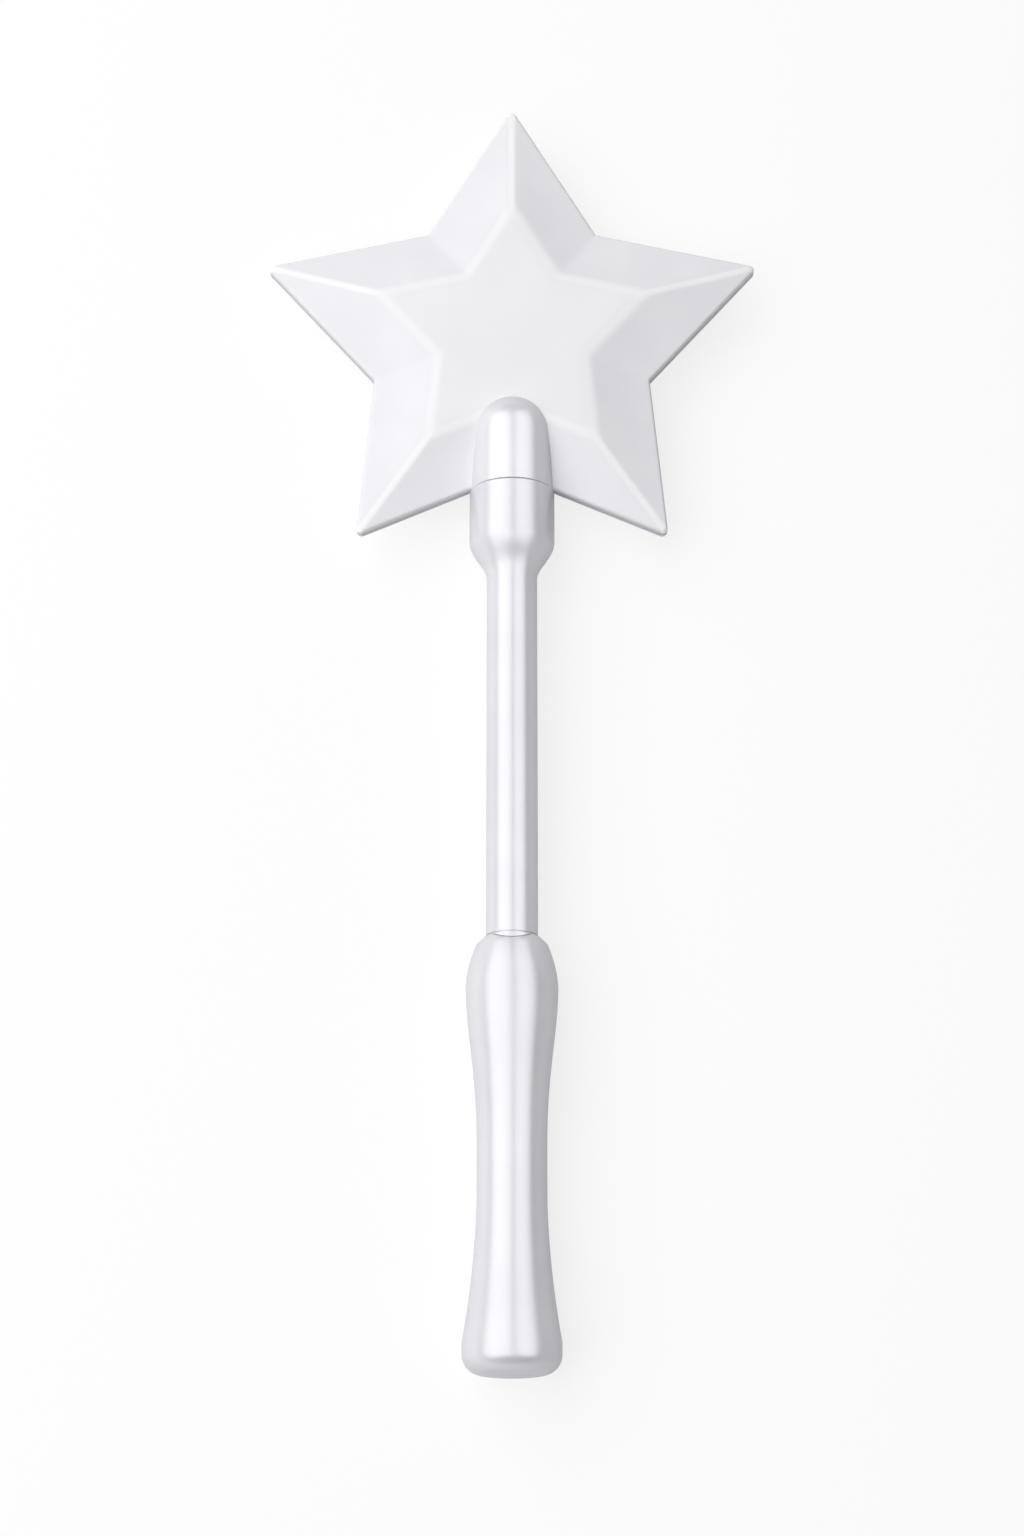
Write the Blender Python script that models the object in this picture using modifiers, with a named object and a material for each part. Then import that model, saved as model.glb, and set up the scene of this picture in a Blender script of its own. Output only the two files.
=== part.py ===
"""Star wand: a hollow star of two shells on a push-fit stem, with a grip of two halves.

The wand lies on its back. +Y runs from the butt to the star's top tip, +Z is the front, and the
origin is on the surface below the middle of the wand's length. Lengths are in metres.
"""

import math

import bmesh
import bpy
from mathutils import Matrix, Vector

# Fits between pieces
PARTING_GAP = 0.0003
FIT_GAP = 0.0003

# Grip, heights above the end of its butt unless a drop below its mouth
GRIP_LENGTH = 0.112
GRIP_WALL = 0.0022
BUTT_RADIUS = 0.0126
BUTT_HEIGHT = 0.008
BUTT_ROUND = 0.0034
FLARE_POWER = 1.8
WAIST_RADIUS = 0.009
WAIST_HEIGHT = 0.045
WAIST_STRAIGHT = 0.009
BULGE_RADIUS = 0.012
BULGE_DROP = 0.0135
SHOULDER_RADIUS = 0.0094
SHOULDER_DROP = 0.0017
CROWN_POWER = 2.6
COLLAR_DEPTH = 0.008
RIB_THICKNESS = 0.002
GRIP_SCREW_COUNT = 3

# Stem, from the end inside the grip to the spigot inside the star
STEM_INSERT = 0.038
STEM_EXPOSED = 0.1003
STEM_RADIUS = 0.0068
STEM_WALL = 0.002
FLARE_LENGTH = 0.0107
NECK_RADIUS = 0.01155
NECK_LENGTH = 0.0143
LEAD_IN = 0.0005
KEY_RADIUS = 0.007
KEY_DEPTH = 0.002
SPLINE_WIDTH = 0.0024
SPLINE_HEIGHT = 0.0008
SPLINE_LEAD = 0.002

# Star, radii from its centre and heights from its parting plane
STAR_OFFSET = 0.0458
STAR_ARMS = 5
STAR_TIP_RADIUS = 0.073
STAR_VALLEY_RADIUS = 0.0404
STAR_TIP_ROUND = 0.0013
STAR_WALL = 0.002
RIM_HALF_HEIGHT = 0.0018
FACE_RISE = 0.0046
FACE_TIP_RADIUS = 0.0385
BACK_TIP_RADIUS = 0.0385
BOSS_RADIUS = 0.0112
BOSS_STRAIGHT = 0.0171
SOCKET_WALL = 0.002
STAR_POST_RADIUS = 0.029

# Self-tapping pan-head screws and the posts they bite into
SHANK_RADIUS = 0.0013
HEAD_RADIUS = 0.0025
HEAD_HEIGHT = 0.0018
HEAD_RIM = 0.0007
HEAD_SINK = 0.0008
RECESS_WIDTH = 0.0007
RECESS_LENGTH = 0.003
RECESS_DEPTH = 0.0009
POST_WALL = 0.0012

# Facets on turned pieces and along curved stretches
TURN_STEPS = 32
ROD_STEPS = 16
CURVE_STEPS = 6
HEAD_STEPS = 3
TIP_STEPS = 4
MERGE_DISTANCE = 0.00001

# How far a cutter runs past what it cuts
OVERRUN = 0.002

# Heights along the wand, from the end of the butt
stem_foot = GRIP_LENGTH - STEM_INSERT
flare_foot = GRIP_LENGTH + STEM_EXPOSED
flare_top = flare_foot + FLARE_LENGTH
seam = flare_top + NECK_LENGTH
boss_mouth = seam + FIT_GAP
boss_centre = seam + BOSS_STRAIGHT
star_height = seam + STAR_OFFSET

# Sizes that follow from those above
bore_radius = STEM_RADIUS + FIT_GAP
mouth_radius = bore_radius + FIT_GAP
socket_radius = BOSS_RADIUS - SOCKET_WALL
spigot_radius = socket_radius - FIT_GAP
spigot_top = boss_centre - FIT_GAP
spline_radius = spigot_radius + SPLINE_HEIGHT
face_height = RIM_HALF_HEIGHT + FACE_RISE
recess_radius = HEAD_RADIUS + FIT_GAP
hole_radius = SHANK_RADIUS + FIT_GAP
post_radius = recess_radius + POST_WALL

# The back of the star lies level with the widest ring of the turned pieces
rest_radius = max(BUTT_RADIUS, BULGE_RADIUS, NECK_RADIUS)

# Half the angle of a star tip, and the length that rounding takes off it
half_turn = math.pi / STAR_ARMS
tip_angle = math.atan2(
    STAR_VALLEY_RADIUS * math.sin(half_turn),
    STAR_TIP_RADIUS - STAR_VALLEY_RADIUS * math.cos(half_turn),
)
tip_cutback = STAR_TIP_ROUND * (1 / math.sin(tip_angle) - 1)
wand_length = star_height + STAR_TIP_RADIUS - tip_cutback


def clear_scene():
    for old in list(bpy.data.objects):
        bpy.data.objects.remove(old, do_unlink=True)


def new_collection(name):
    collection = bpy.data.collections.new(name)
    bpy.context.scene.collection.children.link(collection)
    return collection


def new_frame(name, collection, location, rotation):
    frame = bpy.data.objects.new(name, None)
    frame.location = location
    frame.rotation_euler = rotation
    collection.objects.link(frame)
    return frame


def new_material(name, colour, roughness, metallic=0.0):
    material = bpy.data.materials.new(name)
    material.use_nodes = True
    shader = material.node_tree.nodes["Principled BSDF"]
    shader.inputs["Base Color"].default_value = (*colour, 1.0)
    shader.inputs["Roughness"].default_value = roughness
    shader.inputs["Metallic"].default_value = metallic
    return material


def add_object(name, mesh, frame, material=None):
    """Links a piece to its collection, or a cutter without a material to the cutters."""
    piece = bpy.data.objects.new(name, mesh)
    piece.parent = frame
    if material:
        mesh.materials.clear()
        mesh.materials.append(material)
        parts.objects.link(piece)
    else:
        piece.hide_render = True
        piece.display_type = "WIRE"
        cutters.objects.link(piece)
    return piece


def mesh_from(bm, name):
    mesh = bpy.data.meshes.new(name)
    bm.to_mesh(mesh)
    bm.free()
    return mesh


def add_rod(name, radius, start, end, frame):
    """A round cutter or post between two points."""
    start, end = Vector(start), Vector(end)
    along = end - start
    place = Matrix.Translation((start + end) / 2) @ along.to_track_quat("Z", "Y").to_matrix().to_4x4()
    bm = bmesh.new()
    bmesh.ops.create_cone(
        bm, cap_ends=True, segments=ROD_STEPS, radius1=radius, radius2=radius,
        depth=along.length, matrix=place,
    )
    return add_object(name, mesh_from(bm, name), frame)


def add_box(name, low, high, frame):
    low, high = Vector(low), Vector(high)
    bm = bmesh.new()
    place = Matrix.Translation((low + high) / 2) @ Matrix.Diagonal(high - low).to_4x4()
    bmesh.ops.create_cube(bm, size=1.0, matrix=place)
    return add_object(name, mesh_from(bm, name), frame)


def add_turned(name, profile, frame, material=None, steps=TURN_STEPS):
    """Turns (radius, height) points, given down the outer side. A tube's outline closes on itself."""
    edges = [(i, i + 1) for i in range(len(profile) - 1)]
    if profile[0][0] > 0:
        edges.append((len(profile) - 1, 0))
    mesh = bpy.data.meshes.new(name)
    mesh.from_pydata([(radius, 0, height) for radius, height in profile], edges, [])
    piece = add_object(name, mesh, frame, material)
    turn = piece.modifiers.new("turn", "SCREW")
    turn.steps = steps
    turn.render_steps = steps
    turn.use_merge_vertices = True
    turn.merge_threshold = MERGE_DISTANCE
    return piece


def apply_boolean(piece, operation, tools):
    for tool in tools:
        step = piece.modifiers.new(tool.name, "BOOLEAN")
        step.operation = operation
        step.solver = "EXACT"
        step.object = tool


def baked_mesh(piece):
    """The piece's finished mesh; the piece itself is removed."""
    graph = bpy.context.evaluated_depsgraph_get()
    mesh = bpy.data.meshes.new_from_object(piece.evaluated_get(graph))
    bpy.data.objects.remove(piece)
    return mesh


def steps_between(low, high):
    """Heights that split a curved stretch evenly, from its top to just above its foot."""
    return [high + (low - high) * i / CURVE_STEPS for i in range(CURVE_STEPS)]


def quarter_turns(steps):
    return [math.pi / 2 * i / steps for i in range(steps + 1)]


def ease(share):
    """Smooth step from 0 to 1, level at both ends."""
    return share * share * (3 - 2 * share)


def grip_radius(height):
    """Outer radius of the grip: rounded butt, flare, waist, bulge, then the conical mouth."""
    waist_top = WAIST_HEIGHT + WAIST_STRAIGHT
    bulge = GRIP_LENGTH - BULGE_DROP
    shoulder = GRIP_LENGTH - SHOULDER_DROP
    if height < BUTT_ROUND:
        return BUTT_RADIUS - BUTT_ROUND + math.sqrt(BUTT_ROUND**2 - (BUTT_ROUND - height) ** 2)
    if height < BUTT_HEIGHT:
        return BUTT_RADIUS
    if height < WAIST_HEIGHT:
        share = (WAIST_HEIGHT - height) / (WAIST_HEIGHT - BUTT_HEIGHT)
        return WAIST_RADIUS + (BUTT_RADIUS - WAIST_RADIUS) * share**FLARE_POWER
    if height < waist_top:
        return WAIST_RADIUS
    if height < bulge:
        share = (height - waist_top) / (bulge - waist_top)
        return WAIST_RADIUS + (BULGE_RADIUS - WAIST_RADIUS) * ease(share)
    if height < shoulder:
        share = (height - bulge) / (shoulder - bulge)
        return BULGE_RADIUS - (BULGE_RADIUS - SHOULDER_RADIUS) * share**CROWN_POWER
    share = (height - shoulder) / (GRIP_LENGTH - shoulder)
    return SHOULDER_RADIUS + (mouth_radius - SHOULDER_RADIUS) * share


def grip_heights():
    """Heights of the grip's profile points, from the shoulder to the end."""
    waist_top = WAIST_HEIGHT + WAIST_STRAIGHT
    bulge = GRIP_LENGTH - BULGE_DROP
    shoulder = GRIP_LENGTH - SHOULDER_DROP
    heights = steps_between(bulge, shoulder) + steps_between(waist_top, bulge) + [waist_top]
    heights += steps_between(BUTT_HEIGHT, WAIST_HEIGHT) + [BUTT_HEIGHT]
    return heights + [BUTT_ROUND * (1 - math.sin(turn)) for turn in quarter_turns(CURVE_STEPS)]


def grip_profile():
    curve = [(grip_radius(height), height) for height in grip_heights()]
    return [(0, GRIP_LENGTH), (mouth_radius, GRIP_LENGTH)] + curve + [(0, 0)]


def chamber(low, high):
    """Inside of the grip between two heights, one wall in from its outer curve."""
    heights = [high] + [h for h in grip_heights() if low < h < high] + [low]
    return [(grip_radius(height) - GRIP_WALL, height) for height in heights]


def grip_stop():
    """Top and underside of the rib that the stem's end rests on."""
    top = stem_foot - FIT_GAP
    return top, top - RIB_THICKNESS


def grip_cavity(frame):
    """Three chambers, parted by a guide rib and a stop rib, under the collar at the mouth."""
    collar = GRIP_LENGTH - COLLAR_DEPTH
    stop_top, stop_foot = grip_stop()
    guide_foot = (stop_top + collar - RIB_THICKNESS) / 2
    guide_top = guide_foot + RIB_THICKNESS
    stop_radius = STEM_RADIUS - STEM_WALL
    profile = [(0, GRIP_LENGTH + OVERRUN), (bore_radius, GRIP_LENGTH + OVERRUN), (bore_radius, collar)]
    profile += chamber(guide_top, collar) + [(bore_radius, guide_top), (bore_radius, guide_foot)]
    profile += chamber(stop_top, guide_foot) + [(stop_radius, stop_top), (stop_radius, stop_foot)]
    profile += chamber(GRIP_WALL, stop_foot) + [(0, GRIP_WALL)]
    return add_turned("grip_cavity", profile, frame)


def grip_screw_heights():
    """Screws spread evenly along the chamber below the stop rib."""
    room = grip_stop()[1] - GRIP_WALL
    return [GRIP_WALL + room * (i + 0.5) / GRIP_SCREW_COUNT for i in range(GRIP_SCREW_COUNT)]


def grip_screw_seat():
    """Distance from the parting plane to the underside of the grip's screw heads."""
    return min(grip_radius(height) for height in grip_screw_heights()) - HEAD_SINK - HEAD_HEIGHT


def grip_screw_tip():
    return min(grip_radius(height) for height in grip_screw_heights()) - GRIP_WALL - FIT_GAP


def key_disc(name, radius, frame):
    """Half-round key at the front of the grip's mouth, as a disc through the wall."""
    middle = GRIP_LENGTH + KEY_RADIUS - KEY_DEPTH
    return add_rod(name, radius, (0, 0, middle), (0, -BULGE_RADIUS - OVERRUN, middle), frame)


def build_grip(frame, material):
    cavity = grip_cavity(frame)
    seat, tip = grip_screw_seat(), grip_screw_tip()
    reach = BUTT_RADIUS + BULGE_RADIUS
    posts, holes = [], []
    for number, height in enumerate(grip_screw_heights(), 1):
        wall = grip_radius(height) - GRIP_WALL / 2
        posts.append(add_rod(f"grip_post_{number}", post_radius, (0, -wall, height), (0, wall, height), frame))
        floor = (0, seat - FIT_GAP, height)
        holes.append(add_rod(f"grip_recess_{number}", recess_radius, floor, (0, reach, height), frame))
        end = (0, -tip - FIT_GAP, height)
        holes.append(add_rod(f"grip_hole_{number}", hole_radius, end, (0, seat, height), frame))
    notch = key_disc("key_notch", KEY_RADIUS + FIT_GAP, frame)
    edge = PARTING_GAP / 2
    low, high = -OVERRUN, GRIP_LENGTH + OVERRUN
    keep_front = add_box("grip_keep_front", (-reach, -edge, low), (reach, reach, high), frame)
    keep_rear = add_box("grip_keep_rear", (-reach, -reach, low), (reach, edge, high), frame)
    for name, cuts in (("grip_front_half", [notch, keep_front]), ("grip_rear_half", [keep_rear])):
        half = add_turned(name, grip_profile(), frame, material)
        apply_boolean(half, "DIFFERENCE", [cavity])
        apply_boolean(half, "UNION", posts)
        apply_boolean(half, "DIFFERENCE", holes + cuts)


def stem_profile():
    """Outer side from the spigot down to the end in the grip, then up the bore."""
    profile = [(spigot_radius - LEAD_IN, spigot_top), (spigot_radius, spigot_top - LEAD_IN)]
    profile += [(spigot_radius, seam), (NECK_RADIUS, seam)]
    for height in steps_between(flare_foot, flare_top):
        share = (height - flare_foot) / FLARE_LENGTH
        profile.append((STEM_RADIUS + (NECK_RADIUS - STEM_RADIUS) * ease(share), height))
    profile += [(STEM_RADIUS, flare_foot), (STEM_RADIUS, stem_foot + LEAD_IN)]
    profile += [(STEM_RADIUS - LEAD_IN, stem_foot), (STEM_RADIUS - STEM_WALL, stem_foot)]
    profile += [(STEM_RADIUS - STEM_WALL, flare_foot), (spigot_radius - STEM_WALL, flare_top)]
    return profile + [(spigot_radius - STEM_WALL, spigot_top)]


def stem_key(frame):
    """The key fills its notch, flush with the grip's conical mouth, and is rooted in the stem's wall."""
    envelope = add_turned("key_envelope", grip_profile(), frame)
    core = add_rod(
        "key_core", STEM_RADIUS - STEM_WALL / 2, (0, 0, GRIP_LENGTH - BULGE_DROP),
        (0, 0, GRIP_LENGTH + OVERRUN), frame,
    )
    key = key_disc("stem_key", KEY_RADIUS, frame)
    apply_boolean(key, "INTERSECT", [envelope])
    apply_boolean(key, "DIFFERENCE", [core])
    return key


def spline_box(name, side, gap, frame):
    """A spline on one side of the spigot, or its slot when a gap is added round it."""
    inner = spigot_radius - STEM_WALL / 2
    outer = spline_radius + gap
    half_width = SPLINE_WIDTH / 2 + gap
    low_x, high_x = sorted((side * inner, side * outer))
    foot = seam - OVERRUN
    top = spigot_top - SPLINE_LEAD + gap
    return add_box(name, (low_x, -half_width, foot), (high_x, half_width, top), frame)


def build_stem(frame, material):
    stem = add_turned("stem", stem_profile(), frame, material)
    splines = [spline_box(f"spline_{side:+d}", side, 0, frame) for side in (-1, 1)]
    apply_boolean(stem, "UNION", [stem_key(frame)] + splines)


def star_outline(tip_round):
    """Corner points of a star whose tips reach 1, anticlockwise from the top tip."""
    points = []
    valley = STAR_VALLEY_RADIUS / STAR_TIP_RADIUS
    middle = 1 - tip_round / math.sin(tip_angle)
    spread = math.pi / 2 - tip_angle
    for arm in range(STAR_ARMS):
        axis = math.pi / 2 + 2 * half_turn * arm
        turns = [spread * (2 * i / TIP_STEPS - 1) for i in range(TIP_STEPS + 1)] if tip_round else [0]
        for turn in turns:
            x = middle * math.cos(axis) + tip_round * math.cos(axis + turn)
            y = middle * math.sin(axis) + tip_round * math.sin(axis + turn)
            points.append((x, y))
        points.append((valley * math.cos(axis + half_turn), valley * math.sin(axis + half_turn)))
    return points


def star_mesh(name, levels, tip_round):
    """Bridges star outlines stacked at (height, tip radius) levels, from the back to the front."""
    outline = star_outline(tip_round)
    bm = bmesh.new()
    stack = []
    for height, radius in levels:
        stack.append(bm.faces.new([bm.verts.new((x * radius, y * radius, height)) for x, y in outline]))
    for lower, upper in zip(stack, stack[1:]):
        bmesh.ops.bridge_loops(bm, edges=[*lower.edges, *upper.edges])
    bmesh.ops.delete(bm, geom=stack[1:-1], context="FACES_ONLY")
    bmesh.ops.recalc_face_normals(bm, faces=bm.faces)
    return mesh_from(bm, name)


def star_levels():
    return [
        (-rest_radius, BACK_TIP_RADIUS),
        (-RIM_HALF_HEIGHT, STAR_TIP_RADIUS),
        (RIM_HALF_HEIGHT, STAR_TIP_RADIUS),
        (face_height, FACE_TIP_RADIUS),
    ]


def inset_facet(tip_radius, height):
    """Where a wall's inside meets the inset rim and the inset flat, as (height, tip radius) pairs."""
    square = math.sin(tip_angle)
    run = (STAR_TIP_RADIUS - tip_radius) * square
    rise = height - RIM_HALF_HEIGHT
    slope = math.hypot(run, rise)
    normal_out, normal_up = rise / slope, run / slope
    rim_height = RIM_HALF_HEIGHT - STAR_WALL * (1 - normal_out) / normal_up
    rim_radius = STAR_TIP_RADIUS - STAR_WALL / square
    flat_radius = tip_radius - STAR_WALL * (1 - normal_up) / normal_out / square
    return (rim_height, rim_radius), (height - STAR_WALL, flat_radius)


def cavity_levels():
    front_rim, front_flat = inset_facet(FACE_TIP_RADIUS, face_height)
    back_rim, back_flat = inset_facet(BACK_TIP_RADIUS, rest_radius)
    return [(-back_flat[0], back_flat[1]), (-back_rim[0], back_rim[1]), front_rim, front_flat]


def bullet_profile(radius, mouth):
    """A straight run from the mouth to the boss's centre, closed by a half ball."""
    ball = []
    for turn in quarter_turns(CURVE_STEPS):
        ball.append((radius * math.sin(turn), boss_centre + radius * math.cos(turn)))
    return ball + [(radius, mouth), (0, mouth)]


def star_screw_places():
    places = []
    for arm in range(STAR_ARMS):
        axis = math.pi / 2 + 2 * half_turn * arm
        places.append((STAR_POST_RADIUS * math.cos(axis), STAR_POST_RADIUS * math.sin(axis)))
    return places


def star_screw_seat():
    """Height of the underside of the star's screw heads, below the parting plane."""
    return -(rest_radius - HEAD_SINK - HEAD_HEIGHT)


def star_screw_tip():
    return face_height - STAR_WALL - FIT_GAP


def build_star(axis_frame, star_frame, material):
    cavity = add_object("star_cavity", star_mesh("star_cavity", cavity_levels(), 0), star_frame)
    boss = add_turned("boss", bullet_profile(BOSS_RADIUS, boss_mouth), axis_frame)
    socket = add_turned("socket", bullet_profile(socket_radius, seam - OVERRUN), axis_frame)
    slots = [spline_box(f"slot_{side:+d}", side, FIT_GAP, axis_frame) for side in (-1, 1)]
    back, front = -rest_radius + STAR_WALL / 2, face_height - STAR_WALL / 2
    seat, tip = star_screw_seat(), star_screw_tip()
    posts, holes = [], []
    for number, (x, y) in enumerate(star_screw_places(), 1):
        posts.append(add_rod(f"star_post_{number}", post_radius, (x, y, back), (x, y, front), star_frame))
        outside, floor = (x, y, -rest_radius - OVERRUN), (x, y, seat + FIT_GAP)
        holes.append(add_rod(f"star_recess_{number}", recess_radius, outside, floor, star_frame))
        end = (x, y, tip + FIT_GAP)
        holes.append(add_rod(f"star_hole_{number}", hole_radius, (x, y, seat), end, star_frame))
    edge, reach = PARTING_GAP / 2, STAR_TIP_RADIUS + rest_radius
    keep_front = add_box("star_keep_front", (-reach, -reach, -reach), (reach, reach, edge), star_frame)
    keep_rear = add_box("star_keep_rear", (-reach, -reach, -edge), (reach, reach, reach), star_frame)
    for name, other_half in (("star_front_shell", keep_front), ("star_rear_shell", keep_rear)):
        mesh = star_mesh(name, star_levels(), STAR_TIP_ROUND / STAR_TIP_RADIUS)
        shell = add_object(name, mesh, star_frame, material)
        apply_boolean(shell, "DIFFERENCE", [cavity])
        apply_boolean(shell, "UNION", [boss] + posts)
        apply_boolean(shell, "DIFFERENCE", [socket] + slots + holes + [other_half])


def screw_mesh(name, length, frame):
    """A pan-head screw: head above its own origin, shank below, with a cross recess."""
    dome = HEAD_HEIGHT - HEAD_RIM
    profile = []
    for turn in quarter_turns(HEAD_STEPS):
        profile.append((HEAD_RADIUS * math.sin(turn), HEAD_RIM + dome * math.cos(turn)))
    profile += [(HEAD_RADIUS, 0), (SHANK_RADIUS, 0), (SHANK_RADIUS, SHANK_RADIUS - length), (0, -length)]
    blank = add_turned(name, profile, frame, steps=ROD_STEPS)
    long, wide = RECESS_LENGTH / 2, RECESS_WIDTH / 2
    floor, above = HEAD_HEIGHT - RECESS_DEPTH, HEAD_HEIGHT + OVERRUN
    bars = [
        add_box("recess_across", (-long, -wide, floor), (long, wide, above), frame),
        add_box("recess_along", (-wide, -long, floor), (wide, long, above), frame),
    ]
    apply_boolean(blank, "DIFFERENCE", bars)
    mesh = baked_mesh(blank)
    for bar in bars:
        bpy.data.objects.remove(bar)
    return mesh


def build_screws(axis_frame, star_frame, material):
    seat, tip = star_screw_seat(), star_screw_tip()
    mesh = screw_mesh("star_screw", tip - seat, None)
    for number, (x, y) in enumerate(star_screw_places(), 1):
        screw = add_object(f"star_screw_{number}", mesh, star_frame, material)
        screw.location = (x, y, seat)
        screw.rotation_euler = (math.pi, 0, 0)
    seat, tip = grip_screw_seat(), grip_screw_tip()
    mesh = screw_mesh("grip_screw", tip + seat, None)
    for number, height in enumerate(grip_screw_heights(), 1):
        screw = add_object(f"grip_screw_{number}", mesh, axis_frame, material)
        screw.location = (0, seat, height)
        screw.rotation_euler = (-math.pi / 2, 0, 0)


clear_scene()
parts = new_collection("magic_wand")
cutters = new_collection("cutters")
butt_end = -wand_length / 2
axis_frame = new_frame("wand_axis", parts, (0, butt_end, rest_radius), (-math.pi / 2, 0, 0))
star_frame = new_frame("star_centre", parts, (0, butt_end + star_height, rest_radius), (0, 0, 0))
build_grip(axis_frame, new_material("pearl_grip", (0.78, 0.77, 0.81), 0.3))
build_stem(axis_frame, new_material("pearl_stem", (0.78, 0.77, 0.81), 0.28))
build_star(axis_frame, star_frame, new_material("pearl_star", (0.83, 0.83, 0.85), 0.4))
build_screws(axis_frame, star_frame, new_material("screw_steel", (0.55, 0.55, 0.56), 0.35, 1.0))
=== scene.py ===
"""Looks of the star wand: finely moulded shells, stem and grip in white and lavender pearl plastic."""

import math
from collections import namedtuple

import bmesh
import bpy
from mathutils import Matrix, Vector


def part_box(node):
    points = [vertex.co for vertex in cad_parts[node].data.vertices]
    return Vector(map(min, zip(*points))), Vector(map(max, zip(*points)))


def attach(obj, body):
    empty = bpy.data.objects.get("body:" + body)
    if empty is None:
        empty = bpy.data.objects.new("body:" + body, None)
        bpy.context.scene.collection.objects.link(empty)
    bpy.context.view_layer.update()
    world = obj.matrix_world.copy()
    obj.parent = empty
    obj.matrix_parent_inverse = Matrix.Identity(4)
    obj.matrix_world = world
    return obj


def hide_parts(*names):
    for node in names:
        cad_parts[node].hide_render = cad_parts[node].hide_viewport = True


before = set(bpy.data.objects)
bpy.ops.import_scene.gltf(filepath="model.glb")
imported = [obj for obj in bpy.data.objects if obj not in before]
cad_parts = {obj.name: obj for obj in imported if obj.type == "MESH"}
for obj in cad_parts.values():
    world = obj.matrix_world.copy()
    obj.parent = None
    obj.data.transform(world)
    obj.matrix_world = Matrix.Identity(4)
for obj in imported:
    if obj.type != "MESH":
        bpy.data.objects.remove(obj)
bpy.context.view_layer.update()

# Places read from the frame
grip_low, grip_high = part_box("grip_rear_half")
stem_low, stem_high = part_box("stem")
screw_low, screw_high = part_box("star_screw_1")
butt_y = grip_low[1]
axis_z = (stem_low[2] + stem_high[2]) / 2
grip_length = grip_high[1] - butt_y
neck_radius = (stem_high[0] - stem_low[0]) / 2
stem_foot = stem_low[1] - butt_y
spigot_top = stem_high[1] - butt_y

# Gaps that show between mouldings
SEAM_GAP = 0.0002
FIT_GAP = 0.0003

# Grip, measured from the end of the butt
GRIP_WALL = 0.0022
BUTT_RADIUS = 0.0126
BUTT_HEIGHT = 0.008
BUTT_ROUND = 0.005
FLARE_POWER = 1.8
WAIST_RADIUS = 0.009
WAIST_HEIGHT = 0.045
WAIST_STRAIGHT = 0.009
SWELL_POWER = 1.4
BULGE_RADIUS = 0.012
BULGE_DROP = 0.0135
SHOULDER_RADIUS = 0.0094
SHOULDER_DROP = 0.0020
CROWN_POWER = 1.8
COLLAR_DEPTH = 0.008
GRIP_SCREWS = 3

# Stem
STEM_RADIUS = 0.0068
STEM_WALL = 0.002
FLARE_FOOT = 0.2123
FLARE_LENGTH = 0.0107
EDGE_ROUND = 0.0003
LEAD_IN = 0.0005

# Half-round key of the stem, its notch in the grip's mouth, and the groove above it
NOTCH_RADIUS = 0.0072
NOTCH_DEPTH = 0.0022
KEY_RADIUS = 0.011
KEY_DEPTH = 0.0012
GROOVE_WIDTH = 0.0006
GROOVE_DEPTH = 0.0003

# Splines on the stem's spigot
SPLINE_WIDTH = 0.0024
SPLINE_HEIGHT = 0.0008
SPLINE_LEAD = 0.002

# Star
STAR_ARMS = 5
STAR_OFFSET = 0.0458
STAR_POST_RADIUS = 0.029
STAR_TIP = 0.0723
STAR_VALLEY = 0.0400
STAR_WALL = 0.002
RIM_HALF = 0.0018
RIM_ROUND = 0.0009
FACE_RISE = 0.0046
FLAT_TIP = 0.0381
FLAT_ROUND = 0.017
FACET_SAG = 0.0002
TIP_ROUND = 0.0013
RIDGE_ROUND = 0.0014
VALLEY_ROUND = 0.0008
CREASE_ROUND = 0.003
SOFTENING = 0.5
FLAT_RINGS = (0.25, 0.5, 0.75, 0.96)
BOSS_RADIUS = 0.0112
BOSS_STRAIGHT = 0.0171
BOSS_CUT = 0.6
SOCKET_WALL = 0.002

# Tone of the star's surface, kept in its mesh: above 0 a painted highlight, paler; below 0 a painted shade,
# greyer
PAINTED_LIGHT_LAYER = "painted_light_tone"
# Painted sheen over the star's flat
FLAT_PAINTED_SHEEN = 0.45
# Painted highlight along the flat's bevel and the arms' ridges
EDGE_PAINTED_HIGHLIGHT = 0.7
# Painted shade in a band at the star's rim: half strength on the front shell, full on the rear
FRONT_RIM_PAINTED_SHADE = 0.5
REAR_RIM_PAINTED_SHADE = 1.0
RIM_PAINTED_SHADE_DEPTH = 0.0006

# Screws
SHANK_RADIUS = 0.0013
HEAD_RADIUS = 0.0025
HEAD_HEIGHT = 0.0018
HEAD_RIM = 0.0007
RECESS_WIDTH = 0.0007
RECESS_LENGTH = 0.003
RECESS_DEPTH = 0.0009
POST_WALL = 0.0012

# Fineness of the meshes
TURN_STEPS = 144
ROD_STEPS = 48
CURVE_STEPS = 20
ARC_STEPS = 8
EDGE_STEPS = 10
HALF_STEP = 0.5
SHARP_ANGLE = math.radians(32)
MERGE_DISTANCE = 2e-6

# Pearl plastics: linear tints between which the pigment clouds, and the shader's levels; noise is
# (scale, detail)
# The star's last two levels are the strengths of its painted highlight and its painted shade
STAR_PEARL = {
    "dark": (0.838, 0.834, 0.871), "light": (0.872, 0.868, 0.897), "roughness": 0.46,
    "metallic": 0.0, "coat": 0.0, "specular": 0.3, "pale": 1.0, "grey": 0.6,
}
# The boss: glossy pearl like the stem's, with its tint lightened as a painted highlight
BOSS_PEARL_PAINTED_LIGHTER = {
    "dark": (0.752, 0.747, 0.782), "light": (0.782, 0.777, 0.807), "roughness": 0.33,
    "metallic": 0.28, "coat": 0.15, "specular": 0.25,
}
STEM_PEARL = {
    "dark": (0.705, 0.695, 0.73), "light": (0.735, 0.725, 0.755), "roughness": 0.33,
    "metallic": 0.31, "coat": 0.15, "specular": 0.25,
}
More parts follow.
